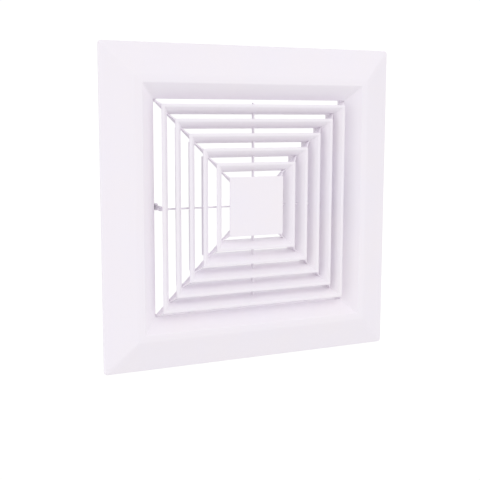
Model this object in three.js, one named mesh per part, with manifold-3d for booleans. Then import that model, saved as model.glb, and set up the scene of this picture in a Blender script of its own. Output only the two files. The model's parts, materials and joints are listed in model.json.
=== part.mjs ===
// Square four-way ceiling air diffuser, 300 mm face on a short neck, with its core hung on
// two wire springs. Millimetres. +Z points up into the duct and the face looks down (-Z);
// "front" is the -Z side and "back" the +Z side. Heights are measured from the ceiling plane,
// where the rim of the frame rests; addPart lifts every part so that the crest is at z = 0.
import * as THREE from 'three';
import { mergeVertices } from 'three/addons/utils/BufferGeometryUtils.js';
import Module from 'manifold-3d';

const wasm = await Module();
wasm.setup();

// ---- driving dimensions -------------------------------------------------
// "Half" is half the side of a square centred on the z axis.
const OUTER_HALF = 150;        // face of the frame
const CORNER_R = 3.2;          // plan radius of the frame's outer corners
const RIM_W = 2.6;             // width of the rim that meets the ceiling
const RIDGE_HALF = 114.2;      // inner edge of the crest
const LAND_W = 6.4;            // width of the land along the crest
const LAND_FALL = 0.45;        // the land falls back this much to its outer edge
const RIDGE_Z = -14;           // crest, the lowest point of the object
const THROAT_HALF = 100.1;     // neck opening at the louvres
const DRAFT = 0.3;             // the opening widens this much up the neck
const NECK_HALF = 102.2;       // outside of the neck
const THROAT_Z = -2.4;         // where the inner bevel meets the neck
const NECK_TOP = 10.5;
const EAR_TOP = 34;            // top of the two ears that take the spring tips
const EAR_HALF = 46;           // half the width of an ear
const PLATE_HALF = 28;
const PLATE_Z = -11.3;         // face of the centre plate
const PLATE_T = 1.8;
const BAR_T = 1.3;             // thickness of the carrier bars
const BAR_FRONT = -3.9;
const BAR_BACK = -0.4;
const BAR_END = 97.4;          // reach of the cross bars from the centre
const SEAT = 0.05;             // play left at seats
const COIL_Z = 23.5;           // height of the axis of the spring coils

// Louvre rings, outer to inner.
const LIP_HALF = [95.7, 82.4, 68.9, 55.2, 41.5];
const LIP_Z = [-12.7, -12.0, -11.8, -11.65, -11.6];
const RING_DEPTH = [23, 23, 23, 24.2, 13.4];     // lip to back edge

const LAND_HALF = RIDGE_HALF + LAND_W;
const LAND_Z = RIDGE_Z + LAND_FALL;
const RIM_INNER = OUTER_HALF - RIM_W;
const THROAT_BACK = THROAT_HALF + DRAFT;         // neck opening at its top
const QUARTERS = [0, 90, 180, 270];

// ---- solids -------------------------------------------------------------
function signedVolume(pos, tris) {
  let sum = 0;
  for (let i = 0; i < tris.length; i += 3) {
    const [a, b, c] = [0, 1, 2].map((k) => new THREE.Vector3().fromArray(pos, 3 * tris[i + k]));
    sum += a.dot(b.cross(c));
  }
  return sum;
}

// Weld, drop collapsed triangles and turn the surface to face outwards.
function toManifold(geometry) {
  const bare = geometry.clone();
  bare.deleteAttribute('normal');
  bare.deleteAttribute('uv');
  const welded = mergeVertices(bare, 1e-4);
  const pos = welded.attributes.position.array;
  const index = welded.index.array;
  const tris = [];
  for (let i = 0; i < index.length; i += 3) {
    const [a, b, c] = index.slice(i, i + 3);
    if (a !== b && b !== c && a !== c) tris.push(a, b, c);
  }
  if (signedVolume(pos, tris) < 0) {
    for (let i = 0; i < tris.length; i += 3) {
      [tris[i], tris[i + 1]] = [tris[i + 1], tris[i]];
    }
  }
  const mesh = new wasm.Mesh({
    numProp: 3,
    vertProperties: new Float32Array(pos),
    triVerts: new Uint32Array(tris),
  });
  mesh.merge();
  return new wasm.Manifold(mesh);
}

function toGeometry(manifold) {
  const mesh = manifold.getMesh();
  const geometry = new THREE.BufferGeometry();
  const positions = new Float32Array(mesh.vertProperties);
  geometry.setAttribute('position', new THREE.BufferAttribute(positions, 3));
  geometry.setIndex(new THREE.BufferAttribute(new Uint32Array(mesh.triVerts), 1));
  geometry.computeVertexNormals();
  return geometry;
}

const union = (parts) => parts.reduce((all, part) => all.add(part));
const turned = (solid, degrees) => solid.rotate([0, 0, degrees]);

// A closed profile of [half, z] swept around a square.
function squareSweep(profile) {
  const points = profile.map(([half, z]) => new THREE.Vector2(half * Math.SQRT2, z));
  points.push(points[0].clone());
  const geometry = new THREE.LatheGeometry(points, 4, Math.PI / 4);
  geometry.rotateX(Math.PI / 2);
  return toManifold(geometry);
}

function box(x0, x1, y0, y1, z0, z1) {
  const geometry = new THREE.BoxGeometry(x1 - x0, y1 - y0, z1 - z0);
  geometry.translate((x0 + x1) / 2, (y0 + y1) / 2, (z0 + z1) / 2);
  return toManifold(geometry);
}

function cylinderX(radius, x0, x1, y, z, sides) {
  const geometry = new THREE.CylinderGeometry(radius, radius, x1 - x0, sides);
  geometry.rotateZ(Math.PI / 2);
  geometry.translate((x0 + x1) / 2, y, z);
  return toManifold(geometry);
}

function cylinderZ(radius, z0, z1, x, y, sides) {
  const geometry = new THREE.CylinderGeometry(radius, radius, z1 - z0, sides);
  geometry.rotateX(Math.PI / 2);
  geometry.translate(x, y, (z0 + z1) / 2);
  return toManifold(geometry);
}

const polygon = (points) => new THREE.Shape(points.map(([x, y]) => new THREE.Vector2(x, y)));

function roundedSquare(half, radius, steps) {
  const centre = half - radius;
  const corners = [[centre, centre], [-centre, centre], [-centre, -centre], [centre, -centre]];
  const points = [];
  corners.forEach(([cornerX, cornerY], quarter) => {
    for (let i = 0; i <= steps; i++) {
      const angle = (quarter + i / steps) * Math.PI / 2;
      points.push([cornerX + radius * Math.cos(angle), cornerY + radius * Math.sin(angle)]);
    }
  });
  const shape = polygon(points);
  shape.closePath();
  return shape;
}

function prismZ(shape, z0, z1) {
  const geometry = new THREE.ExtrudeGeometry(shape, { depth: z1 - z0, bevelEnabled: false });
  geometry.translate(0, 0, z0);
  return toManifold(geometry);
}

// An outline of [x, z] thickened along y.
function prismY(outline, y0, y1) {
  const options = { depth: y1 - y0, bevelEnabled: false };
  const geometry = new THREE.ExtrudeGeometry(polygon(outline), options);
  geometry.rotateX(Math.PI / 2);          // (x, y, z) -> (x, -z, y)
  geometry.translate(0, y1, 0);
  return toManifold(geometry);
}

// ---- materials ----------------------------------------------------------
const standard = (settings) => new THREE.MeshStandardMaterial(settings);
const abs = () => standard({ color: 0xf1edf2, roughness: 0.42, metalness: 0.0 });
const absInner = () => standard({ color: 0xeeebee, roughness: 0.48, metalness: 0.0 });
const steel = () => standard({ color: 0xa8abae, roughness: 0.32, metalness: 1.0 });

const group = new THREE.Group();
group.name = 'ceiling_air_diffuser';

function addPart(name, solid, material) {
  const mesh = new THREE.Mesh(toGeometry(solid.translate([0, 0, -RIDGE_Z])), material);
  mesh.name = name;
  group.add(mesh);
}

// ---- frame --------------------------------------------------------------
const GUSSET_T = 1.6;
const GUSSET_Y = [-80, 0, 80];           // places along each side of the neck
const WEB_LEG = 3.8;                     // reach of a corner web into the opening
const WEB_OVERLAP = 1;                   // how far a web runs into the neck wall
const SLOT = { y0: 30.4, y1: 41.4, z0: 26.5, z1: 29.5 };   // for a spring tip
const SCREW_HOLE = { radius: 2.1, y: 64, z: 5.5 };         // for a screw into the duct collar
const CUT_MARGIN = 3;                    // cutters overrun the neck wall by this much

// [half, z]: rim, outer slope, crest, bevel, inside of the neck, then back along the rear.
const FRAME_PROFILE = [
  [OUTER_HALF, 0], [OUTER_HALF, -1.3], [OUTER_HALF - 0.2, -2.1],
  [OUTER_HALF - 0.75, -2.85], [OUTER_HALF - 1.7, -3.45],
  [LAND_HALF + 2.0, LAND_Z + 0.78], [LAND_HALF + 0.8, LAND_Z + 0.4],
  [LAND_HALF - 0.6, LAND_Z + 0.06], [LAND_HALF - 2.0, LAND_Z - 0.1],
  [RIDGE_HALF + 0.7, RIDGE_Z + 0.02], [RIDGE_HALF + 0.2, RIDGE_Z],
  [RIDGE_HALF - 0.2, RIDGE_Z + 0.15], [RIDGE_HALF - 0.7, RIDGE_Z + 0.55],
  [THROAT_HALF + 1.1, THROAT_Z - 1.0], [THROAT_HALF + 0.3, THROAT_Z - 0.3],
  [THROAT_HALF, THROAT_Z + 0.4],
  [THROAT_BACK, NECK_TOP - 0.4], [THROAT_BACK + 0.4, NECK_TOP],
  [NECK_HALF - 0.4, NECK_TOP], [NECK_HALF, NECK_TOP - 0.4],
  [NECK_HALF, THROAT_Z + 0.3], [RIDGE_HALF - 0.6, -11.4],
  [RIDGE_HALF + 1.2, -12.0], [LAND_HALF - 1.2, -11.8],
  [RIM_INNER - 1.0, -1.8], [RIM_INNER, -1.1], [RIM_INNER, 0],
];

// [x, z] of a gusset behind the slope.
const GUSSET_OUTLINE = [
  [NECK_HALF - 0.8, 9], [NECK_HALF + 1.6, 9], [THROAT_HALF + 13, -1.0],
  [RIM_INNER + 0.6, -1.0], [RIM_INNER + 0.6, -2.0],
  [LAND_HALF - 1.0, -12.5], [RIDGE_HALF + 0.8, -12.5], [RIDGE_HALF - 1.4, -11.6],
  [NECK_HALF - 0.8, THROAT_Z + 0.4],
];

// [along the neck side, z] of an ear standing on the neck.
const EAR_OUTLINE = [
  [-EAR_HALF, NECK_TOP - 2], [EAR_HALF, NECK_TOP - 2],
  [EAR_HALF, EAR_TOP - 5], [EAR_HALF - 1.5, EAR_TOP - 1.5], [EAR_HALF - 5, EAR_TOP],
  [5 - EAR_HALF, EAR_TOP], [1.5 - EAR_HALF, EAR_TOP - 1.5], [-EAR_HALF, EAR_TOP - 5],
];

// Small web in the +x +y corner of the neck, behind the end of the corner bar.
function cornerWeb() {
  const outer = THROAT_HALF + WEB_OVERLAP;
  const inner = THROAT_HALF - WEB_LEG;
  const outline = [
    [outer, outer], [inner, outer], [inner, THROAT_HALF], [THROAT_HALF, inner], [outer, inner],
  ];
  return prismZ(polygon(outline), BAR_BACK + 0.3, BAR_BACK + 2.5);
}

// Slots through the two ears, and screw holes through all four neck walls.
function frameCuts() {
  const x0 = THROAT_HALF - CUT_MARGIN;
  const x1 = NECK_HALF + CUT_MARGIN;
  const slot = box(x0, x1, SLOT.y0, SLOT.y1, SLOT.z0, SLOT.z1);
  const slots = [slot, slot.mirror([0, 1, 0])];
  const holes = [-1, 1].map((side) => (
    cylinderX(SCREW_HOLE.radius, x0, x1, side * SCREW_HOLE.y, SCREW_HOLE.z, 24)));
  return [
    ...[0, 180].flatMap((angle) => slots.map((cut) => turned(cut, angle))),
    ...QUARTERS.flatMap((angle) => holes.map((cut) => turned(cut, angle))),
  ];
}

function outerFrame() {
  const shell = squareSweep(FRAME_PROFILE)
    .intersect(prismZ(roundedSquare(OUTER_HALF, CORNER_R, 5), -30, 60));
  const gussets = QUARTERS.flatMap((angle) => GUSSET_Y.map((y) => (
    turned(prismY(GUSSET_OUTLINE, y - GUSSET_T / 2, y + GUSSET_T / 2), angle))));
  const webs = QUARTERS.map((angle) => turned(cornerWeb(), angle));
  const ear = prismY(EAR_OUTLINE, -NECK_HALF, -THROAT_BACK);
  const body = union([shell, ...gussets, ...webs, turned(ear, 90), turned(ear, -90)]);
  return frameCuts().reduce((solid, cut) => solid.subtract(cut), body);
}

// ---- carrier bars -------------------------------------------------------
const BAR_CHAMFER = 0.8;
const CORNER_IN = 21.5 * Math.SQRT2;     // ends of a corner bar, along the diagonal
const CORNER_OUT = (THROAT_HALF - 1.3) * Math.SQRT2;
const WINDOW = 0.12;                     // gap around a bar where it passes through a blade

// A bar along x, grown by a margin all round.
function bar(x0, x1, grow) {
  const outline = [
    [x0 - grow, BAR_FRONT + BAR_CHAMFER], [x0 + BAR_CHAMFER, BAR_FRONT - grow],
    [x1 - BAR_CHAMFER, BAR_FRONT - grow], [x1 + grow, BAR_FRONT + BAR_CHAMFER],
    [x1 + grow, BAR_BACK + grow], [x0 - grow, BAR_BACK + grow],
  ];
  return prismY(outline, -BAR_T / 2 - grow, BAR_T / 2 + grow);
}
const crossBar = (grow) => bar(-BAR_END, BAR_END, grow);
const cornerBar = (grow) => bar(CORNER_IN, CORNER_OUT, grow);

// The cross bars are halved into each other at the centre.
function halvedBar(notchedSide) {
  const halfWidth = BAR_T / 2 + SEAT;
  const middle = (BAR_FRONT + BAR_BACK) / 2;
  const [z0, z1] = notchedSide === 'back'
    ? [middle - SEAT, BAR_BACK + 3]
    : [BAR_FRONT - 3, middle + SEAT];
  return crossBar(0).subtract(box(-halfWidth, halfWidth, -3, 3, z0, z1));
}

// Fin running forward from a corner bar, behind a blade to its lip.
function bladeFin(half, i) {
  const depth = BAR_FRONT - LIP_Z[i];
  const reach = i === 0 ? 2.9 : 4.2;
  // [offset from the lip's half, offset from the lip plane]
  const offsets = [
    [-0.4, 2.1], [reach, depth], [reach, depth + 0.6], [-6.1, depth + 0.6], [-5.7, 7.2],
    [-5.3, 6.45], [-4.35, 4.95], [-3.4, 3.65], [-2.35, 2.7], [-1.3, 2.2],
  ];
  return offsets.map(([dHalf, dz]) => [half + dHalf, LIP_Z[i] + dz]);
}

// Innermost fin, [half, z], running to the corner of the plate.
function plateFin() {
  const front = PLATE_Z + PLATE_T + 0.12;
  return [
    [PLATE_HALF - 0.9, front], [PLATE_HALF + 3.0, BAR_FRONT],
    [PLATE_HALF + 3.0, BAR_FRONT + 0.6], [PLATE_HALF - 6, BAR_FRONT + 0.6],
    [PLATE_HALF - 6, BAR_FRONT], [PLATE_HALF - 2.6, front],
  ];
}

// Corner bar with its fins, lying along x.
function cornerPiece() {
  const fins = [...LIP_HALF.map(bladeFin), plateFin()].map((fin) => {
    const outline = fin.map(([half, z]) => [half * Math.SQRT2, z]);
    return prismY(outline, -BAR_T / 2, BAR_T / 2);
  });
  return union([cornerBar(0), ...fins]);
}

// ---- louvre rings -------------------------------------------------------
// Flat rounded lip, flare curving back into an upright skirt.
// Columns: [offset from the lip's half, offset from the lip plane].
const BLADE_LIP = [[-0.2, 1.5], [0, 1.15], [-0.12, 0.55], [-0.55, 0.14], [-1.2, 0], [-2.3, 0]];
const BLADE_INNER = [
  [-2.8, 0.2], [-3.6, 1.0], [-4.8, 2.3], [-5.9, 3.8], [-6.9, 5.55], [-7.75, 7.6],
  [-8.4, 9.8], [-8.9, 12.2], [-9.2, 15.0], [-9.35, 18.0], [-9.35, 30],
];
const BLADE_OUTER = [
  [-2.6, 2.25], [-3.7, 3.25], [-4.7, 4.65], [-5.65, 6.3], [-6.45, 8.2],
  [-7.05, 10.3], [-7.55, 12.6], [-7.8, 15.0], [-7.95, 18.0], [-7.95, 30],
];
const BLADE_HEEL = [-1.4, 1.75];         // closes the outer curve to the lip
const BLADE_CHAMFER = 0.25;              // on the back edge

// The part of a curve in front of a depth, ending exactly on it.
function upTo(curve, depth) {
  const end = curve.findIndex(([, z]) => z >= depth - 0.15);
  const [half0, z0] = curve[end - 1];
  const [half1, z1] = curve[end];
  const half = half0 + (half1 - half0) * (depth - z0) / (z1 - z0);
  return [...curve.slice(0, end), [half, depth]];
}

function louvreRing(half, i, windows) {
  const inner = upTo(BLADE_INNER, RING_DEPTH[i]);
  const outer = upTo(BLADE_OUTER, RING_DEPTH[i]);
  const [innerEnd, back] = inner.pop();
  const [outerEnd] = outer.pop();
  const profile = [
    ...BLADE_LIP, ...inner,
    [innerEnd, back - BLADE_CHAMFER], [innerEnd + BLADE_CHAMFER, back],
    [outerEnd - BLADE_CHAMFER, back], [outerEnd, back - BLADE_CHAMFER],
    ...outer.reverse(), BLADE_HEEL,
  ];
  const ring = squareSweep(profile.map(([dHalf, dz]) => [half + dHalf, LIP_Z[i] + dz]));
  return windows.reduce((solid, window) => solid.subtract(window), ring);
}

// ---- centre plate, hub cap and its two screws ---------------------------
const PLATE_BEVEL = 0.5;
const BOSS_R = 9;                        // boss behind the plate
const HUB_SCREW_AT = 4.2;                // x and y of a hub screw, both signs alike
const PILOT = { radius: 1.25, front: -8.6 };
const SHANK = { radius: 1.2, front: -8.2 };
const CAP_R = 11;
const CAP_BACK = BAR_BACK + 3;
const CAP_STEP = { radius: 6, back: BAR_BACK + 4.4 };
const CAP_HOLE_R = 1.65;
const COUNTERBORE_R = 3.2;
const HEAD = { radius: 2.7, back: BAR_BACK + 5 };
const RECESS = { halfLength: 1.7, halfWidth: 0.35, floor: BAR_BACK + 4 };   // cross recess

function centrePlate() {
  const shape = roundedSquare(PLATE_HALF - PLATE_BEVEL, 0.8, 4);
  const geometry = new THREE.ExtrudeGeometry(shape, {
    depth: PLATE_T - 2 * PLATE_BEVEL,
    bevelEnabled: true,
    bevelThickness: PLATE_BEVEL,
    bevelSize: PLATE_BEVEL,
    bevelSegments: 3,
  });
  geometry.translate(0, 0, PLATE_Z + PLATE_BEVEL);
  let plate = toManifold(geometry)
    .add(cylinderZ(BOSS_R, PLATE_Z + PLATE_T - 0.5, BAR_FRONT - SEAT, 0, 0, 32));
  for (const at of [-HUB_SCREW_AT, HUB_SCREW_AT]) {
    plate = plate.subtract(cylinderZ(PILOT.radius, PILOT.front, 0, at, at, 16));
  }
  return plate;
}

function hubCap() {
  let cap = cylinderZ(CAP_R, BAR_BACK + SEAT, CAP_BACK, 0, 0, 32)
    .add(cylinderZ(CAP_STEP.radius, CAP_BACK - 0.5, CAP_STEP.back, 0, 0, 32));
  for (const at of [-HUB_SCREW_AT, HUB_SCREW_AT]) {
    cap = cap
      .subtract(cylinderZ(CAP_HOLE_R, -8, 30, at, at, 20))
      .subtract(cylinderZ(COUNTERBORE_R, CAP_BACK, 30, at, at, 24));
  }
  return cap;
}

function hubScrew(at) {
  const { halfLength, halfWidth, floor } = RECESS;
  const recess = (halfX, halfY) => box(at - halfX, at + halfX, at - halfY, at + halfY, floor, 20);
  return cylinderZ(HEAD.radius, CAP_BACK + SEAT, HEAD.back, at, at, 24)
    .subtract(recess(halfLength, halfWidth))
    .subtract(recess(halfWidth, halfLength))
    .add(cylinderZ(SHANK.radius, SHANK.front, CAP_BACK + 0.5, at, at, 16));
}

// ---- spring posts and pins, drawn at the +x end of the x bar ------------
const POST_IN = 88.15;
const POST_OUT = 90.5;
const POST_T = 3;
const POST_EYE_R = 3.4;
const PIN_R = 1.0;
const PIN_TAIL_R = 1.7;
const PIN_HEAD_R = 2.6;

// [x, z]
const POST_OUTLINE = [
  [89.5, BAR_BACK - 2.2], [94.6, BAR_BACK - 2.2], [94.6, BAR_BACK + 2.0], [POST_OUT, 9],
  [POST_OUT, COIL_Z], [POST_IN, COIL_Z], [POST_IN, 8], [89.5, 2],
];

function springPost() {
  const seatHalf = BAR_T / 2 + SEAT;
  return prismY(POST_OUTLINE, -POST_T / 2, POST_T / 2)
    .add(cylinderX(POST_EYE_R, POST_IN, POST_OUT, 0, COIL_Z, 24))
    .subtract(box(POST_IN - 3, 97, -seatHalf, seatHalf, BAR_FRONT - 1, BAR_BACK + SEAT))
    .subtract(cylinderX(PIN_R + SEAT, POST_IN - 3, POST_OUT + 3, 0, COIL_Z, 20));
}

function springPin() {
  return cylinderX(PIN_R, POST_IN - 0.6, 98.4, 0, COIL_Z, 20)
    .add(cylinderX(PIN_TAIL_R, POST_IN - 1.0, POST_IN - 0.1, 0, COIL_Z, 20))
    .add(cylinderX(PIN_HEAD_R, 98.2, 99.2, 0, COIL_Z, 24));
}

// ---- W springs, two legs each -------------------------------------------
const WIRE_R = 0.7;
const WIRE_SIDES = 8;
const COIL_R = 1.85;                     // mean radius
const COIL_PITCH = 1.5;
const COIL_TURNS = 1.25;                 // per leg
const COIL_STEPS = 22;
const REST_LIFT = 3.1;                   // degrees each leg is bent up when fitted
const LEG_SPAN = 40;                     // y over which a leg drifts from coil x to tip x
const HOOK_END_X = 103.6;

// [y, z] from the coil's axis.
const LEG_POINTS = [
  [2.4, 1.75], [5.5, 0.9], [9.5, -1.1], [13.2, -2.85], [16.2, -3.35],
  [19.8, -2.95], [26, -1.45], [32.5, 0.15], [38, 1.55],
];

function wireSection() {
  const points = [];
  for (let i = 0; i < WIRE_SIDES; i++) {
    const angle = 2 * Math.PI * (i + 0.5) / WIRE_SIDES;
    points.push([WIRE_R * Math.cos(angle), WIRE_R * Math.sin(angle)]);
  }
  const shape = polygon(points);
  shape.closePath();
  return shape;
}

// Leg reaching to +y from a coil on the x axis; coilDir is the side of legX the coil lies on.
function springLeg({ legX, coilDir, tipX }) {
  const points = [];
  for (let i = 0; i <= COIL_STEPS; i++) {          // helix, ending at the top of the coil
    const turnsLeft = (1 - i / COIL_STEPS) * COIL_TURNS;
    const angle = Math.PI / 2 + turnsLeft * 2 * Math.PI;
    const x = legX + coilDir * turnsLeft * COIL_PITCH;
    points.push([x, COIL_R * Math.cos(angle), COIL_R * Math.sin(angle)]);
  }
  for (const [y, z] of LEG_POINTS) {
    points.push([legX + (tipX - legX) * Math.min(1, y / LEG_SPAN), y, z]);
  }
  points.push(                                     // hook turning outwards along x
    [tipX + 0.35, 39.5, 1.9], [tipX + 1.4, 40, 2.02],
    [tipX + 3.4, 40.05, 2.04], [HOOK_END_X, 40.05, 2.04],
  );
  const vectors = points.map((point) => new THREE.Vector3(...point));
  const geometry = new THREE.ExtrudeGeometry(wireSection(), {
    steps: 78,
    bevelEnabled: false,
    extrudePath: new THREE.CatmullRomCurve3(vectors, false, 'centripetal'),
  });
  geometry.rotateX(THREE.MathUtils.degToRad(REST_LIFT));
  return toManifold(geometry);
}

// ---- assembly -----------------------------------------------------------
addPart('outer_frame', outerFrame(), abs());

const windows = [
  crossBar(WINDOW),
  turned(crossBar(WINDOW), 90),
  ...QUARTERS.map((angle) => turned(cornerBar(WINDOW), 45 + angle)),
];
LIP_HALF.forEach((half, i) => {
  addPart(`louvre_ring_${i + 1}`, louvreRing(half, i, windows), i % 2 ? absInner() : abs());
});
addPart('centre_plate', centrePlate(), abs());

addPart('cross_bar_x', halvedBar('back'), absInner());
addPart('cross_bar_y', turned(halvedBar('front'), 90), absInner());
QUARTERS.forEach((angle, i) => {
  addPart(`corner_bar_${i + 1}`, turned(cornerPiece(), 45 + angle), absInner());
});

addPart('hub_cap', hubCap(), absInner());
addPart('hub_screw_1', hubScrew(-HUB_SCREW_AT), steel());
addPart('hub_screw_2', hubScrew(HUB_SCREW_AT), steel());

const SIDES = [['left', 180], ['right', 0]];       // left is -x
for (const [side, angle] of SIDES) {
  addPart(`spring_post_${side}`, turned(springPost(), angle), absInner());
  addPart(`spring_pin_${side}`, turned(springPin(), angle), steel());
}
for (const [side, angle] of SIDES) {
  const fitted = (leg) => turned(leg.translate([0, 0, COIL_Z]), angle);
  const nearPost = springLeg({ legX: 91.5, coilDir: 1, tipX: 96.4 });
  const nearHead = springLeg({ legX: 97.2, coilDir: -1, tipX: 97.4 }).scale([1, -1, 1]);
  addPart(`spring_${side}_leg_1`, fitted(nearPost), steel());
  addPart(`spring_${side}_leg_2`, fitted(nearHead), steel());
}

export default group;
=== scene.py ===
"""Square ceiling air diffuser: outer frame, five nested louvre rings, a centre plate, wire springs.

It hangs face down: -Z points into the room, +Z up into the duct, and Z is the square's axis.
Shapes are drawn in mm with z measured from the ceiling plane, which lies LIFT above the origin.
"""
import json
import math
import random

import bmesh
import bpy
from mathutils import Matrix, Vector


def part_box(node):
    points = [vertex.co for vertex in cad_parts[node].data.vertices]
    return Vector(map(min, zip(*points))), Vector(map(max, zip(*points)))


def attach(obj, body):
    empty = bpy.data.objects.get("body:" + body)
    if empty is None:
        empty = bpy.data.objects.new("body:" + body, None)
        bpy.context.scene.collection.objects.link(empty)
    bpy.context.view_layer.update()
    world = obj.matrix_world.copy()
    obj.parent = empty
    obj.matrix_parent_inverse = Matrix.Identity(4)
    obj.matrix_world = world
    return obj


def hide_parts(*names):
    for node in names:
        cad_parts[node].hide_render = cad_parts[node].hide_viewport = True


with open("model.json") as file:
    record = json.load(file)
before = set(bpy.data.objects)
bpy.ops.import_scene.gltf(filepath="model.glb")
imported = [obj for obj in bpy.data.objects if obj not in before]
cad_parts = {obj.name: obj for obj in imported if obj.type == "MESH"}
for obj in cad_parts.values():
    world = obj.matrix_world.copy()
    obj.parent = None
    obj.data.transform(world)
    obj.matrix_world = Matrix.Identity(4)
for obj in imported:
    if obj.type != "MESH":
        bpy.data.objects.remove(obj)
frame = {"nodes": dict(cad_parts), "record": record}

random.seed(7)
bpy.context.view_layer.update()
SLOT_OF = {part["node"]: part["material_slot"] for part in frame["record"]["subparts"]}

# ---------------------------------------------------------------- driving sizes, mm
MM = 0.001
LIFT = 14.0                              # ceiling plane over the origin

frame_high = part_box("outer_frame")[1]
OUTER = frame_high.x / MM                # half the width of the frame
EAR_TOP = frame_high.z / MM - LIFT
THROAT = 100.1                           # half width inside the neck, at its foot
DRAFT = 0.3                              # how much the throat widens up to the neck's top
NECK = 102.2                             # half width outside the neck
NECK_TOP = 10.5

plate_low, plate_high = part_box("centre_plate")
PLATE = plate_high.x / MM                # half the width of the plate
PLATE_Z = plate_low.z / MM - LIFT

bar_low, bar_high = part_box("cross_bar_x")
BAR_FRONT = bar_low.z / MM - LIFT        # lower and upper faces of the carrier bars
BAR_BACK = bar_high.z / MM - LIFT
BAR_HALF_THICK = (bar_high.y - bar_low.y) / 2 / MM

LOUVRES = []                             # half width, z of the lip, height of the blade
for number in range(1, 6):
    ring_low, ring_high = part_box(f"louvre_ring_{number}")
    lip_z = ring_low.z / MM - LIFT
    LOUVRES.append((ring_high.x / MM, lip_z, ring_high.z / MM - LIFT - lip_z))

QUARTER_TURNS = [Matrix.Rotation(i * math.pi / 2, 4, "Z") for i in range(4)]


# ---------------------------------------------------------------- shader nodes
class Graph:
    """Adds nodes to a tree; an input is either a plain value or another node's output."""

    def __init__(self, tree):
        self.tree = tree

    def fill(self, target, inputs):
        for key, value in inputs.items():
            socket = target.inputs[key]
            if isinstance(value, bpy.types.NodeSocket):
                self.tree.links.new(value, socket)
            elif socket.type == "RGBA":
                socket.default_value = (*value[:3], 1.0)
            else:
                socket.default_value = value

    def add(self, kind, inputs=None, **settings):
        added = self.tree.nodes.new(kind)
        for name, value in settings.items():
            setattr(added, name, value)
        self.fill(added, inputs or {})
        return added

    def mix(self, factor, first, second):
        inputs = {0: factor, 6: first, 7: second}
        return self.add("ShaderNodeMix", inputs, data_type="RGBA").outputs[2]

    def math(self, operation, first, second, clamp=False):
        inputs = {0: first, 1: second}
        return self.add("ShaderNodeMath", inputs, operation=operation, use_clamp=clamp).outputs[0]

    def times(self, first, second, clamp=False):
        return self.math("MULTIPLY", first, second, clamp)

    def plus(self, first, second, clamp=False):
        return self.math("ADD", first, second, clamp)

    def noise(self, vector, scale, detail, roughness):
        return self.add("ShaderNodeTexNoise", {
            "Scale": scale, "Detail": detail, "Roughness": roughness, "Vector": vector,
        }).outputs["Fac"]

    def ramp(self, value, low, high, **settings):
        """Stretch low..high to 0..1."""
        inputs = {"From Min": low, "From Max": high, "Value": value}
        return self.add("ShaderNodeMapRange", inputs, **settings).outputs["Result"]

    def bump(self, **inputs):
        return self.add("ShaderNodeBump", inputs).outputs[0]


def tint(colour, *gains):
    """Multiply a colour by one gain, or by one per channel, up to full white."""
    gains = gains if len(gains) == 3 else gains * 3
    return tuple(min(1.0, channel * gain) for channel, gain in zip(colour, gains))


def new_material(name, offset):
    """A material with one Principled shader, and object coordinates moved by an offset."""
    material = bpy.data.materials.new(name)
    material.use_nodes = True
    graph = Graph(material.node_tree)
    graph.tree.nodes.clear()
    output = graph.add("ShaderNodeOutputMaterial")
    shader = graph.add("ShaderNodeBsdfPrincipled")
    graph.fill(output, {0: shader.outputs[0]})
    coords = graph.add("ShaderNodeTexCoord").outputs["Object"]
    mapping = graph.add("ShaderNodeMapping", {"Location": offset, "Vector": coords})
    return material, graph, shader, mapping.outputs["Vector"]


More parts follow.
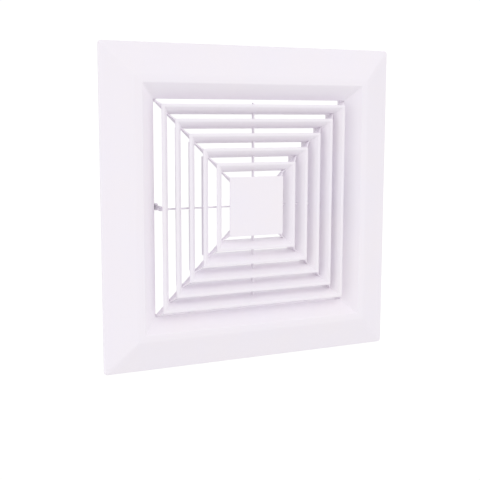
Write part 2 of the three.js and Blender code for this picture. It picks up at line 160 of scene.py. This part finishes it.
def plastic(name, base, rough, seed, hollow_shade=0.22, grain=0.5):
    """White moulded plastic: mottled, finely grained, dusty on top, with painted shade speckled
    into the corners and a painted highlight on the outer edges.
    """
    material, graph, shader, point = new_material(name, (seed, seed * 0.7, seed * 0.3))

    # faint warm and cool mottling under wide, slightly darker clouds
    mottle = graph.noise(point, scale=14.0, detail=4.0, roughness=0.6)
    cloud = graph.noise(point, scale=3.5, detail=2.0, roughness=0.5)
    warm = tint(base, 1.004, 0.995, 0.985)
    cool = tint(base, 0.992, 0.990, 1.002)
    colour = graph.mix(graph.ramp(mottle, low=0.35, high=0.65), warm, cool)
    clouding = graph.times(graph.ramp(cloud, low=0.4, high=0.7), 0.5)
    colour = graph.mix(clouding, colour, tint(base, 0.985))

    # painted shade: darker specks in the inner corners, placed by ambient occlusion of the hollows
    occlusion = graph.add("ShaderNodeAmbientOcclusion", {"Distance": 0.004}, samples=4)
    hollow = graph.math("SUBTRACT", 1.0, occlusion.outputs["AO"], clamp=True)
    speck = graph.noise(point, scale=420.0, detail=2.0, roughness=0.6)
    specks = graph.times(hollow, graph.ramp(speck, low=0.35, high=0.75))
    hollow_shade_specks = graph.times(specks, hollow_shade, clamp=True)
    colour = graph.mix(hollow_shade_specks, colour, (0.74, 0.72, 0.72))

    # dust settled unevenly on the faces turned up into the duct
    geometry = graph.add("ShaderNodeNewGeometry")
    normal = graph.add("ShaderNodeSeparateXYZ", {0: geometry.outputs["Normal"]})
    drift = graph.noise(point, scale=22.0, detail=5.0, roughness=0.65)
    drift = graph.plus(0.62, graph.times(graph.ramp(drift, low=0.3, high=0.7), 0.38))
    settled = graph.times(graph.ramp(normal.outputs["Z"], low=0.45, high=0.9), drift)
    settled = graph.times(settled, 0.52, clamp=True)
    colour = graph.mix(settled, colour, (0.57, 0.56, 0.555))

    # painted highlight: outer edges lightened in patches; the same mask also roughens them like
    # scuffing
    edge = graph.ramp(geometry.outputs["Pointiness"], low=0.52, high=0.62)
    edge_highlight_breakup = graph.noise(point, scale=160.0, detail=3.0, roughness=0.7)
    scuff_and_edge_highlight = graph.times(edge, graph.ramp(edge_highlight_breakup, low=0.45, high=0.75))
    colour = graph.mix(graph.times(scuff_and_edge_highlight, 0.35), colour, tint(base, 1.03))

    # uneven shine, duller on the lightened, scuffed edges and in the painted shade of the hollows
    shine = graph.noise(point, scale=55.0, detail=4.0, roughness=0.6)
    roughness = graph.plus(rough - 0.05, graph.times(shine, 0.10))
    roughness = graph.plus(roughness, graph.times(scuff_and_edge_highlight, 0.12))
    roughness = graph.plus(roughness, graph.times(hollow_shade_specks, 0.3), clamp=True)

    # fine moulded grain over a broader ripple
    fine = graph.noise(point, scale=2600.0, detail=2.0, roughness=0.5)
    ripple = graph.noise(point, scale=260.0, detail=2.0, roughness=0.45)
    relief = graph.bump(Strength=0.10 * grain, Distance=0.00010, Height=fine)
    relief = graph.bump(Strength=0.22 * grain, Distance=0.00025, Height=ripple, Normal=relief)

    graph.fill(shader, {
        "Base Color": colour, "Roughness": roughness, "Normal": relief,
        "IOR": 1.47, "Specular IOR Level": 0.42,
    })
    return material


def metal(name, base, rough, seed):
    """Drawn or plated steel: fine mottling, uneven shine, faint dark spots."""
    material, graph, shader, point = new_material(name, (seed, seed, seed))
    fine = graph.noise(point, scale=900.0, detail=4.0, roughness=0.7)
    cloud = graph.noise(point, scale=90.0, detail=3.0, roughness=0.6)
    colour = graph.mix(fine, tint(base, 0.86), tint(base, 1.08))
    spots = graph.noise(point, scale=380.0, detail=3.0, roughness=0.6)
    spots = graph.ramp(spots, low=0.62, high=0.78)
    colour = graph.mix(graph.times(spots, 0.35), colour, tint(base, 0.45))
    roughness = graph.plus(rough - 0.08, graph.times(cloud, 0.2))
    roughness = graph.plus(roughness, graph.times(spots, 0.2), clamp=True)
    relief = graph.bump(Strength=0.4, Distance=0.00004, Height=fine)
    graph.fill(shader, {
        "Base Color": colour, "Metallic": 1.0, "Roughness": roughness, "Normal": relief,
    })
    return material


WHITE = (0.959, 0.917, 0.980)
OFF_WHITE = tint(WHITE, 0.995)
MATERIALS = {
    "white_moulding": plastic("white_moulding", WHITE, rough=0.46, seed=0.0),
    "white_louvre": plastic("white_louvre", OFF_WHITE, rough=0.47, seed=3.1),
    "white_plate": plastic("white_plate", WHITE, rough=0.45, seed=6.3),
    # the carrier gets only a little painted shade in its hollows
    "carrier_moulding": plastic("carrier_moulding", OFF_WHITE, rough=0.55, seed=9.7,
                                hollow_shade=0.08, grain=0.9),
    "spring_wire": metal("spring_wire", (0.60, 0.61, 0.62), rough=0.30, seed=1.0),
    "zinc_steel": metal("zinc_steel", (0.72, 0.73, 0.75), rough=0.34, seed=5.0),
}


# ---------------------------------------------------------------- outlines and paths
def fillet(points, step_deg):
    """Closed polygon [(x, y, radius)] with its corners rounded, as a dense list."""
    out = []
    for i in range(len(points)):
        corner = Vector(points[i][:2])
        to_last = Vector(points[i - 1][:2]) - corner
        to_next = Vector(points[(i + 1) % len(points)][:2]) - corner
        radius = points[i][2]
        room = (to_last.length * 0.49, to_next.length * 0.49)
        to_last.normalize()
        to_next.normalize()
        angle = math.acos(max(-1, min(1, to_last.dot(to_next))))
        if radius <= 0 or angle > math.radians(178):
            out.append((corner.x, corner.y))
            continue
        trim = min(radius / math.tan(angle / 2), *room)
        radius = trim * math.tan(angle / 2)
        centre = corner + (to_last + to_next).normalized() * (radius / math.sin(angle / 2))
        start = corner + to_last * trim
        end = corner + to_next * trim
        steps = max(2, int(math.ceil(math.degrees(math.pi - angle) / step_deg)))
        first = math.atan2(start.y - centre.y, start.x - centre.x)
        last = math.atan2(end.y - centre.y, end.x - centre.x)
        sweep = (last - first + math.pi) % (2 * math.pi) - math.pi
        for j in range(steps + 1):
            a = first + sweep * j / steps
            out.append((centre.x + radius * math.cos(a), centre.y + radius * math.sin(a)))
    return out


def catmull(points, per):
    """Smooth open curve through points, with a number of steps per span."""
    knots = [Vector(p) for p in points]
    knots = [knots[0] * 2 - knots[1]] + knots + [knots[-1] * 2 - knots[-2]]
    out = []
    for p0, p1, p2, p3 in zip(knots, knots[1:], knots[2:], knots[3:]):
        for j in range(per):
            t = j / per
            out.append(0.5 * ((2 * p1) + (p2 - p0) * t + (2 * p0 - 5 * p1 + 4 * p2 - p3) * t * t
                              + (3 * p1 - p0 - 3 * p2 + p3) * t ** 3))
    out.append(knots[-2].copy())
    return out


# ---------------------------------------------------------------- mesh helpers
def to_scene(x, y, z):
    return Vector((x * MM, y * MM, (z + LIFT) * MM))


def along(axis, u, v, w):
    """Place w along an axis, and u and v along the other two in order."""
    return {"x": (w, u, v), "y": (u, w, v), "z": (u, v, w)}[axis]


def bridge(bm, first, second):
    """Faces between two closed rings; a ring of one repeated vertex makes triangles."""
    for j in range(len(first)):
        k = (j + 1) % len(first)
        corners = list(dict.fromkeys((first[j], first[k], second[k], second[j])))
        if len(corners) >= 3:
            bm.faces.new(corners)


def square_sweep(profile, corner_radius, arc_steps, cuts):
    """Closed (half width, z) profile swept round a square; corner_radius(half, z) rounds it."""
    bm = bmesh.new()
    rings = []
    for half, z in profile:
        radius = corner_radius(half, z)
        ring = []
        for q in range(4):
            turn = Matrix.Rotation(q * math.pi / 2, 2)
            arc = []
            for i in range(arc_steps + 1):
                a = (math.pi / 2) * i / arc_steps
                arc.append(turn @ Vector((half - radius + radius * math.cos(a),
                                          half - radius + radius * math.sin(a))))
            next_start = Matrix.Rotation((q + 1) * math.pi / 2, 2) @ Vector((half, half - radius))
            ring += arc
            ring += [arc[-1].lerp(next_start, j / cuts) for j in range(1, cuts)]
        rings.append([bm.verts.new(to_scene(p.x, p.y, z)) for p in ring])
    for first, second in zip(rings, rings[1:] + rings[:1]):
        bridge(bm, first, second)
    return bm


def slab(bm, outline, axis, low, high, bevel=0.0, segments=2, matrix=None):
    """Add an outline thickened from low to high along an axis, with its edges bevelled."""
    part = bmesh.new()
    bottom = [part.verts.new(along(axis, u, v, low)) for u, v in outline]
    top = [part.verts.new(along(axis, u, v, high)) for u, v in outline]
    part.faces.new(bottom)
    part.faces.new(list(reversed(top)))
    bridge(part, bottom, top)
    bmesh.ops.recalc_face_normals(part, faces=part.faces)
    if bevel > 0:
        edges = [e for e in part.edges
                 if e.is_manifold and e.calc_face_angle(0) > math.radians(25)]
        bmesh.ops.bevel(part, geom=edges, offset=bevel, segments=segments, profile=0.5,
                        affect="EDGES", clamp_overlap=True)
    for vert in part.verts:
        vert.co = vert.co * MM
        vert.co.z += LIFT * MM
        if matrix is not None:
            vert.co = matrix @ vert.co
    carrier = bpy.data.meshes.new("tmp")
    part.to_mesh(carrier)
    part.free()
    bm.from_mesh(carrier)
    bpy.data.meshes.remove(carrier)


def lathe(bm, profile, axis, centre, sides):
    """Add a (radius, along) profile turned about an axis; it closes unless it ends on the axis."""
    angles = [2 * math.pi * i / sides for i in range(sides)]
    rings = []
    for radius, w in profile:
        if radius <= 1e-6:
            pole = bm.verts.new(to_scene(*along(axis, *centre, w)))
            rings.append([pole] * sides)
        else:
            rings.append([bm.verts.new(to_scene(*along(
                axis, centre[0] + radius * math.cos(a), centre[1] + radius * math.sin(a), w,
            ))) for a in angles])
    closed = profile[0][0] > 1e-6 and profile[-1][0] > 1e-6
    for first, second in zip(rings, rings[1:] + rings[:1] if closed else rings[1:]):
        bridge(bm, first, second)


def add_modifier(obj, name, kind, **settings):
    modifier = obj.modifiers.new(name, kind)
    for key, value in settings.items():
        setattr(modifier, key, value)


def new_object(name, bm):
    bmesh.ops.recalc_face_normals(bm, faces=bm.faces)
    mesh = bpy.data.meshes.new(name)
    bm.to_mesh(mesh)
    bm.free()
    obj = bpy.data.objects.new(name, mesh)
    bpy.context.scene.collection.objects.link(obj)
    return obj


def cut(bm, cutters):
    """The mesh with every cutter mesh taken away from it."""
    body = new_object("body", bm)
    tools = [new_object("cut", cutter) for cutter in cutters]
    for tool in tools:
        add_modifier(body, "cut", "BOOLEAN", operation="DIFFERENCE", solver="EXACT", object=tool)
    depsgraph = bpy.context.evaluated_depsgraph_get()
    result = bpy.data.meshes.new_from_object(body.evaluated_get(depsgraph))
    for obj in [body, *tools]:
        bpy.data.objects.remove(obj)
    cut_bm = bmesh.new()
    cut_bm.from_mesh(result)
    return cut_bm


def finish(name, bm, body, slot, smooth_deg, material=None, weighted=True):
    """Make the final object; its material is the slot's own unless another is named."""
    bmesh.ops.remove_doubles(bm, verts=bm.verts, dist=1e-7)
    obj = new_object(name, bm)
    for face in obj.data.polygons:
        face.use_smooth = True
    obj.data.set_sharp_from_angle(angle=math.radians(smooth_deg))
    obj.data.materials.append(MATERIALS[material or slot])
    if weighted:
        add_modifier(obj, "weighted", "WEIGHTED_NORMAL", keep_sharp=True, weight=60)
    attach(obj, body)
    return obj


# ---------------------------------------------------------------- outer frame
# half width, z, corner radius: rim, sloped face, lowest crest, throat, neck, back of the face
FRAME_PROFILE = [
    (OUTER, 0.0, 0.35), (OUTER, -2.7, 2.2),
    (120.6, -13.6, 10.0), (114.25, -14.03, 1.1),
    (THROAT, -2.35, 0.9), (THROAT + DRAFT, NECK_TOP, 0.5), (NECK, NECK_TOP, 0.5),
    (NECK, -0.9, 1.6), (113.4, -12.0, 2.4), (120.0, -11.8, 3.0),
    (147.4, -1.25, 0.9), (147.4, 0.0, 0.35),
]
# distance from the axis, z, corner radius
GUSSET = [
    (NECK - 0.4, 9.0, 0.3), (NECK + 1.4, 9.0, 0.6), (113.5, -0.9, 3.0), (147.9, -0.9, 0.3),
    (147.9, -1.8, 0.2), (120.2, -12.4, 1.5), (113.6, -12.4, 0.8), (NECK - 0.4, -1.6, 0.3),
]
GUSSET_PLACES = (-80, 0, 80)
GUSSET_HALF_THICK = 0.8
# x, y, corner radius
CORNER_WEB = [
    (101.1, 101.1, 0.3), (96.3, 101.1, 0.3), (96.3, 100.1, 0.3),
    (100.1, 96.3, 0.3), (101.1, 96.3, 0.3),
]
WALL_CUT = (97.0, 105.0)                 # reach of the cutters through the neck and ears
# radius, distance from the axis: a hole lightly countersunk outside
HOLE_PROFILE = [
    (0, WALL_CUT[0]), (2.1, WALL_CUT[0]), (2.1, 101.6),
    (2.9, 102.4), (2.9, WALL_CUT[1]), (0, WALL_CUT[1]),
]
HOLE_PLACE = 64                          # either side of the middle of each neck wall
HOLE_Z = 5.5
EAR_HALF = 46
SLOT_Y = (30.4, 41.4)                    # slots for the spring tips
SLOT_Z = (26.5, 29.5)
SLOT_RADIUS = 1.2


def frame_corner(half, z):
    if half > 140:
        return 3.2
    if half > 116:
        return 1.6
    return 0.9 if z < -5 else 1.1


def frame_shell():
    cutters = []
    for side in (-1, 1):
        for end in (-1, 1):
            for axis in ("x", "y"):
                hole = bmesh.new()
                profile = [(radius, side * reach) for radius, reach in HOLE_PROFILE]
                lathe(hole, profile, axis, (end * HOLE_PLACE, HOLE_Z), sides=28)
                cutters.append(hole)
    shell = square_sweep(fillet(FRAME_PROFILE, 7.0), frame_corner, arc_steps=6, cuts=6)
    obj = finish("frame_shell", cut(shell, cutters), "frame", "white_moulding", smooth_deg=28)
    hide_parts("outer_frame")


def spring_slot(side, end):
    """Cutter for one rounded slot through an ear."""
    (y0, y1), (z0, z1), radius = SLOT_Y, SLOT_Z, SLOT_RADIUS
    outline = []
    for y, z, start in ((y1 - radius, z1 - radius, 0), (y0 + radius, z1 - radius, 90),
                        (y0 + radius, z0 + radius, 180), (y1 - radius, z0 + radius, 270)):
        for i in range(5):
            a = math.radians(start + 22.5 * i)
            outline.append((end * (y + radius * math.cos(a)), z + radius * math.sin(a)))
    bm = bmesh.new()
    slab(bm, outline, "x", *sorted(side * reach for reach in WALL_CUT))
    return bm


def frame_ear(side, word):
    """Ear standing on the neck, on a spring side."""
    outline = fillet([(-EAR_HALF, NECK_TOP - 2, 0.2), (EAR_HALF, NECK_TOP - 2, 0.2),
                      (EAR_HALF, EAR_TOP, 5.0), (-EAR_HALF, EAR_TOP, 5.0)], 12)
    faces = sorted((side * (THROAT + DRAFT + 0.06), side * (NECK - 0.04)))
    bm = bmesh.new()
    slab(bm, outline, "x", *faces, bevel=0.35, segments=3)
    bm = cut(bm, [spring_slot(side, end) for end in (-1, 1)])
    finish(f"frame_ear_{word}", bm, "frame", "white_moulding", smooth_deg=28)


def frame_gussets():
    bm = bmesh.new()
    for turn in QUARTER_TURNS:
        for y in GUSSET_PLACES:
            slab(bm, fillet(GUSSET, 18), "y", y - GUSSET_HALF_THICK, y + GUSSET_HALF_THICK,
                 bevel=0.18, matrix=turn)
    finish("frame_gussets", bm, "frame", "white_moulding", smooth_deg=40)


def frame_corner_webs():
    bm = bmesh.new()
    for turn in QUARTER_TURNS:
        slab(bm, fillet(CORNER_WEB, 20), "z", BAR_BACK + 0.3, BAR_BACK + 2.5,
             bevel=0.25, matrix=turn)
    finish("frame_corner_webs", bm, "frame", "white_moulding", smooth_deg=40)


# ---------------------------------------------------------------- louvre rings
# blade section: offset from the ring's half width, height over the lip
BLADE_LIP = [
    (-0.35, 1.6), (-0.08, 1.35), (0.0, 1.0), (-0.05, 0.66), (-0.2, 0.38), (-0.45, 0.17),
    (-0.8, 0.05), (-1.2, 0.0), (-1.9, 0.0), (-2.35, 0.02), (-2.6, 0.08),
]
BLADE_INNER = [
    (-2.85, 0.22), (-3.6, 1.0), (-4.8, 2.3), (-5.9, 3.8), (-6.9, 5.55), (-7.75, 7.6),
    (-8.4, 9.8), (-8.9, 12.2), (-9.2, 15.0), (-9.35, 18.0), (-9.35, 24.0), (-9.35, 30.0),
]
BLADE_OUTER = [
    (-1.7, 1.85), (-2.6, 2.3), (-3.7, 3.3), (-4.7, 4.65), (-5.65, 6.3), (-6.45, 8.2),
    (-7.05, 10.3), (-7.55, 12.6), (-7.8, 15.0), (-7.95, 18.0), (-7.95, 24.0), (-7.95, 30.0),
]
BAR_GAP = 0.12                           # clearance round a bar
STRAIGHT_BAR = (25.0, 97.6)              # reach of the bar slots from the axis
DIAGONAL_BAR = (30.0, 139.7)


def up_to(curve, height):
    """The part of a curve below a height, ending exactly on it."""
    out = []
    for (h0, z0), (h1, z1) in zip(curve, curve[1:]):
        out.append((h0, z0))
        if z1 >= height:
            out.append((h0 + (h1 - h0) * (height - z0) / (z1 - z0), height))
            break
    return out


def blade_profile(half, lip_z, height):
    """Rounded lip, a flare curving up into an upright skirt, and a square top edge."""
    inner = up_to(catmull(BLADE_INNER, 3), height)
    outer = up_to(catmull(BLADE_OUTER, 3), height)
    inner_top, top = inner.pop()
    outer_top = outer.pop()[0]
    edge = fillet([(inner_top, top - 0.9, 0), (inner_top, top, 0.3),
                   (outer_top, top, 0.3), (outer_top, top - 0.9, 0)], 20)
    inner = [p for p in inner if p[1] < top - 1.0]
    outer = [p for p in outer if p[1] < top - 1.0]
    section = BLADE_LIP + inner + edge + outer[::-1]
    return [(half + offset, lip_z + rise) for offset, rise in section]


def louvre(number, half, lip_z, height):
    """One ring, slotted where the eight arms of the carrier bars pass through."""
    cutters = []
    low, high = BAR_FRONT - BAR_GAP, BAR_BACK + BAR_GAP
    for q in range(8):
        start, end = DIAGONAL_BAR if q % 2 else STRAIGHT_BAR
        passage = bmesh.new()
        slab(passage, [(start, low), (end, low), (end, high), (start, high)], "y",
             -BAR_HALF_THICK - BAR_GAP, BAR_HALF_THICK + BAR_GAP,
             matrix=Matrix.Rotation(q * math.pi / 4, 4, "Z"))
        cutters.append(passage)
    ring = square_sweep(blade_profile(half, lip_z, height), lambda half, z: 0.55,
                        arc_steps=5, cuts=8)
    obj = finish(f"louvre_{number}", cut(ring, cutters), "core", "white_louvre", smooth_deg=28)
    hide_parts(f"louvre_ring_{number}")


# ---------------------------------------------------------------- centre plate
PLATE_THICK = 1.8
PLATE_CORNER = 1.1
# radius, z: hollow boss from inside the plate up to just under the bars
BOSS_PROFILE = [
    (2.2, PLATE_Z + 1.0), (10.2, PLATE_Z + 1.0), (10.2, PLATE_Z + PLATE_THICK),
    (9.4, PLATE_Z + 2.4), (9.0, PLATE_Z + 3.4), (9.0, BAR_FRONT - 0.4),
    (8.6, BAR_FRONT - 0.06), (2.2, BAR_FRONT - 0.06),
]


def centre_plate():
    bm = bmesh.new()
    corners = ((1, 1), (-1, 1), (-1, -1), (1, -1))
    outline = fillet([(x * PLATE, y * PLATE, PLATE_CORNER) for x, y in corners], 12)
    slab(bm, outline, "z", PLATE_Z, PLATE_Z + PLATE_THICK, bevel=0.55, segments=4)
    lathe(bm, BOSS_PROFILE, "z", (0, 0), sides=48)
    obj = finish("plate", bm, "core", "white_moulding", smooth_deg=35, material="white_plate")
    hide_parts("centre_plate")


# ---------------------------------------------------------------- wire springs
WIRE_RADIUS = 0.7
WIRE_SIDES = 14
WIRE_ENDS = [(0.55, 0.62), (0.25, 0.90)]  # reach past the end in wire radii, ring scale
COIL_RADIUS = 1.85
COIL_Z = 23.5
COIL_TURNS = 1.8
COIL_PITCH = 1.5
LEG_TILT = math.radians(3.1)
# y, z from the coil's centre
LEG_STATIONS = [
    (2.4, 1.75), (5.5, 0.9), (9.5, -1.1), (13.2, -2.85), (16.2, -3.35),
    (19.8, -2.95), (26, -1.45), (32.5, 0.15), (38, 1.55),
]
# name, x where the coil meets the leg, way the coil runs from it, x of the tip, mirrored in y
LEGS = [("1", 91.5, 1, 96.4, False), ("2", 97.2, -1, 97.4, True)]


def spring_path(x_leg, coil_way, x_tip, mirrored, turn):
    """Centre line of a half spring: coil, bowed leg, and a tip bent outward."""
    helix = []
    steps = int(COIL_TURNS * 20)
    for i in range(steps + 1):
        t = i / steps
        a = math.pi / 2 + (1 - t) * COIL_TURNS * 2 * math.pi
        helix.append(Vector((x_leg + coil_way * (1 - t) * COIL_TURNS * COIL_PITCH,
                             COIL_RADIUS * math.cos(a), COIL_RADIUS * math.sin(a))))
    arm = helix[-2:]
    arm += [(x_leg + (x_tip - x_leg) * min(1, y / 40), y, z) for y, z in LEG_STATIONS]
    arm += [(x_tip + 0.35, 39.5, 1.9), (x_tip + 1.4, 40, 2.02),
            (x_tip + 3.4, 40.05, 2.04), (103.6, 40.05, 2.04)]
    # the curve's first span repeats the last step of the helix
    path = helix[:-1] + catmull(arm, 6)[6:]
    tilt = Matrix.Rotation(LEG_TILT, 3, "X")
    path = [tilt @ p for p in path]
    if mirrored:
        path = [Vector((p.x, -p.y, p.z)) for p in path]
    spin = Matrix.Rotation(turn, 3, "Z")
    return [spin @ (p + Vector((0, 0, COIL_Z))) for p in path]


def wire(path):
    """Round wire along a path, with rounded ends."""
    count = len(path)
    tangents = [(path[min(count - 1, i + 1)] - path[max(0, i - 1)]).normalized()
                for i in range(count)]
    # carry the ring's normal along the path without twist
    normal = tangents[0].orthogonal().normalized()
    last = tangents[0]
    stations = []                        # point, tangent, normal, ring scale
    for point, tangent in zip(path, tangents):
        axis = last.cross(tangent)
        if axis.length > 1e-9:
            normal = Matrix.Rotation(last.angle(tangent), 3, axis.normalized()) @ normal
        normal = (normal - tangent * normal.dot(tangent)).normalized()
        last = tangent
        stations.append((point, tangent, normal.copy(), 1.0))
    point, tangent, normal, _ = stations[0]
    start = [(point - tangent * (WIRE_RADIUS * reach), tangent, normal, scale)
             for reach, scale in WIRE_ENDS]
    point, tangent, normal, _ = stations[-1]
    end = [(point + tangent * (WIRE_RADIUS * reach), tangent, normal, scale)
           for reach, scale in reversed(WIRE_ENDS)]

    bm = bmesh.new()
    rings = []
    for point, tangent, normal, scale in start + stations + end:
        binormal = tangent.cross(normal)
        ring = []
        for j in range(WIRE_SIDES):
            a = 2 * math.pi * j / WIRE_SIDES
            spoke = normal * math.cos(a) + binormal * math.sin(a)
            ring.append(bm.verts.new(to_scene(*(point + spoke * WIRE_RADIUS * scale))))
        rings.append(ring)
    for first, second in zip(rings, rings[1:]):
        bridge(bm, first, second)
    bm.faces.new(rings[0])
    bm.faces.new(list(reversed(rings[-1])))
    return bm


def springs():
    for word, turn in (("right", 0.0), ("left", math.pi)):
        for leg, *shape in LEGS:
            node = f"spring_{word}_leg_{leg}"
            obj = finish(f"wire_{word}_{leg}", wire(spring_path(*shape, turn)), node,
                         "spring_wire", smooth_deg=50, weighted=False)
            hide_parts(node)


# ---------------------------------------------------------------- carried-over CAD nodes
def dress_cad_nodes():
    """Material, weld and softened edges for the CAD pieces that still show."""
    for name, obj in frame["nodes"].items():
        if obj.hide_render:
            continue
        slot = SLOT_OF[name]
        obj.data.materials.clear()
        obj.data.materials.append(MATERIALS[slot])
        for face in obj.data.polygons:
            face.use_smooth = True
        small = any(word in name for word in ("bar", "pin", "screw"))
        add_modifier(obj, "weld", "WELD", merge_threshold=2e-6)
        add_modifier(obj, "edge", "BEVEL", limit_method="ANGLE", angle_limit=math.radians(40),
                     width=0.00016 if small else 0.0003, segments=2,
                     use_clamp_overlap=True, harden_normals=False)
        add_modifier(obj, "weighted", "WEIGHTED_NORMAL", keep_sharp=False, weight=70)


# ---------------------------------------------------------------- floor, light, camera
BACKDROP = 1.05                          # brightness of the white backdrop

# soft light from all round: view right, view up, towards the viewer, strength of each wide lobe
LOBES = [
    (-1, 0, 0, 1.286), (0, -1, 0, 0.506), (0, 0, 1, 0.333), (0, 0, -1, 0.682),
    (1, 1, 1, 0.594), (1, 1, -1, 1.329), (1, -1, 1, 0.405), (1, -1, -1, 0.612),
    (-1, 1, 1, 0.345), (-1, 1, -1, 0.079), (1, 1, 0, 0.035), (1, -1, 0, 0.134),
    (-1, 1, 0, 0.322), (-1, -1, 0, 0.530), (1, 0, 1, 0.571), (-1, 0, 1, 0.149),
    (0, 1, 1, 0.632), (0, -1, 1, 0.206),
]
LOBE_POWER = 4.0


def floor_plane():
    """Floor seen by the camera only, fading into the backdrop away from its middle."""
    bpy.ops.mesh.primitive_plane_add(size=14, location=(0, 0, -1.35))
    floor = bpy.context.active_object
    floor.name = "floor"
    material = bpy.data.materials.new("floor")
    material.use_nodes = True
    graph = Graph(material.node_tree)
    shader = graph.tree.nodes["Principled BSDF"]
    coords = graph.add("ShaderNodeTexCoord").outputs["Object"]
    mottle = graph.noise(coords, scale=3.0, detail=4.0, roughness=0.6)
    colour = graph.mix(mottle, (0.80, 0.80, 0.80), (0.84, 0.84, 0.84))
    graph.fill(shader, {"Base Color": colour, "Roughness": 0.9, "Specular IOR Level": 0.1})
    distance = graph.add("ShaderNodeVectorMath", {0: coords}, operation="LENGTH")
    fade = graph.ramp(distance.outputs["Value"], low=0.8, high=6.5,
                      interpolation_type="SMOOTHERSTEP")
    glow = graph.add("ShaderNodeEmission", {"Strength": BACKDROP})
    mixed = graph.add("ShaderNodeMixShader", {0: fade, 1: shader.outputs[0], 2: glow.outputs[0]})
    graph.fill(graph.tree.nodes["Material Output"], {"Surface": mixed.outputs[0]})
    floor.data.materials.append(material)
    for ray in ("diffuse", "glossy", "transmission", "shadow"):
        setattr(floor, f"visible_{ray}", False)


def studio_world():
    """Lobed white light, with an even white backdrop for the camera."""
    world = bpy.data.worlds.new("studio")
    bpy.context.scene.world = world
    world.use_nodes = True
    graph = Graph(world.node_tree)
    graph.tree.nodes.clear()
    output = graph.add("ShaderNodeOutputWorld")
    coords = graph.add("ShaderNodeTexCoord").outputs["Generated"]
    level = 0.0
    for right, up, near, strength in LOBES:
        way = Vector((right, up, near)).normalized()
        facing = graph.add("ShaderNodeVectorMath", {0: coords, 1: (way.x, -way.y, -way.z)},
                           operation="DOT_PRODUCT").outputs["Value"]
        lobe = graph.math("POWER", graph.math("MAXIMUM", facing, 0.0), LOBE_POWER)
        level = graph.plus(graph.times(lobe, strength), level)
    white = (1, 1, 1)
    light = graph.add("ShaderNodeBackground", {"Color": white, "Strength": level})
    backdrop = graph.add("ShaderNodeBackground", {"Color": white, "Strength": BACKDROP})
    is_camera = graph.add("ShaderNodeLightPath").outputs["Is Camera Ray"]
    mixed = graph.add("ShaderNodeMixShader",
                      {0: is_camera, 1: light.outputs[0], 2: backdrop.outputs[0]})
    graph.fill(output, {0: mixed.outputs[0]})


# The view frame has x right, y up and z towards the viewer: the scene turned over about X.
VIEW_FLIP = Matrix(((1, 0, 0), (0, -1, 0), (0, 0, -1)))
VIEW_ORIGIN_Z = LIFT - 3.0               # scene height of its origin, mm
VIEW_TURN = (Matrix.Rotation(-0.0017, 3, "Z") @ Matrix.Rotation(0.1381, 3, "X")
             @ Matrix.Rotation(0.4416, 3, "Y"))
VIEW_SHIFT = Vector((12.6547, 33.1816, -846.7291))   # view origin as the camera sees it, mm


def camera():
    """Camera below the diffuser, looking up at its face."""
    data = bpy.data.cameras.new("camera")
    obj = bpy.data.objects.new("camera", data)
    bpy.context.scene.collection.objects.link(obj)
    bpy.context.scene.camera = obj
    data.sensor_width = 36.0
    data.lens = 66.214875
    data.clip_start = 0.01
    data.clip_end = 50.0
    place = -(VIEW_TURN.transposed() @ VIEW_SHIFT)
    place = VIEW_FLIP.transposed() @ (place - Vector((0, 0, VIEW_ORIGIN_Z)))
    facing = (VIEW_TURN @ VIEW_FLIP).transposed().to_4x4()
    obj.matrix_world = Matrix.Translation(place * MM) @ facing


# ---------------------------------------------------------------- build
frame_shell()
frame_ear(-1, "left")
frame_ear(1, "right")
frame_gussets()
frame_corner_webs()
for number, sizes in enumerate(LOUVRES, 1):
    louvre(number, *sizes)
centre_plate()
springs()
dress_cad_nodes()
floor_plane()
studio_world()
camera()

view = bpy.context.scene.view_settings
view.view_transform = "Standard"
view.look = "None"
view.exposure = 0.0
view.gamma = 1.0
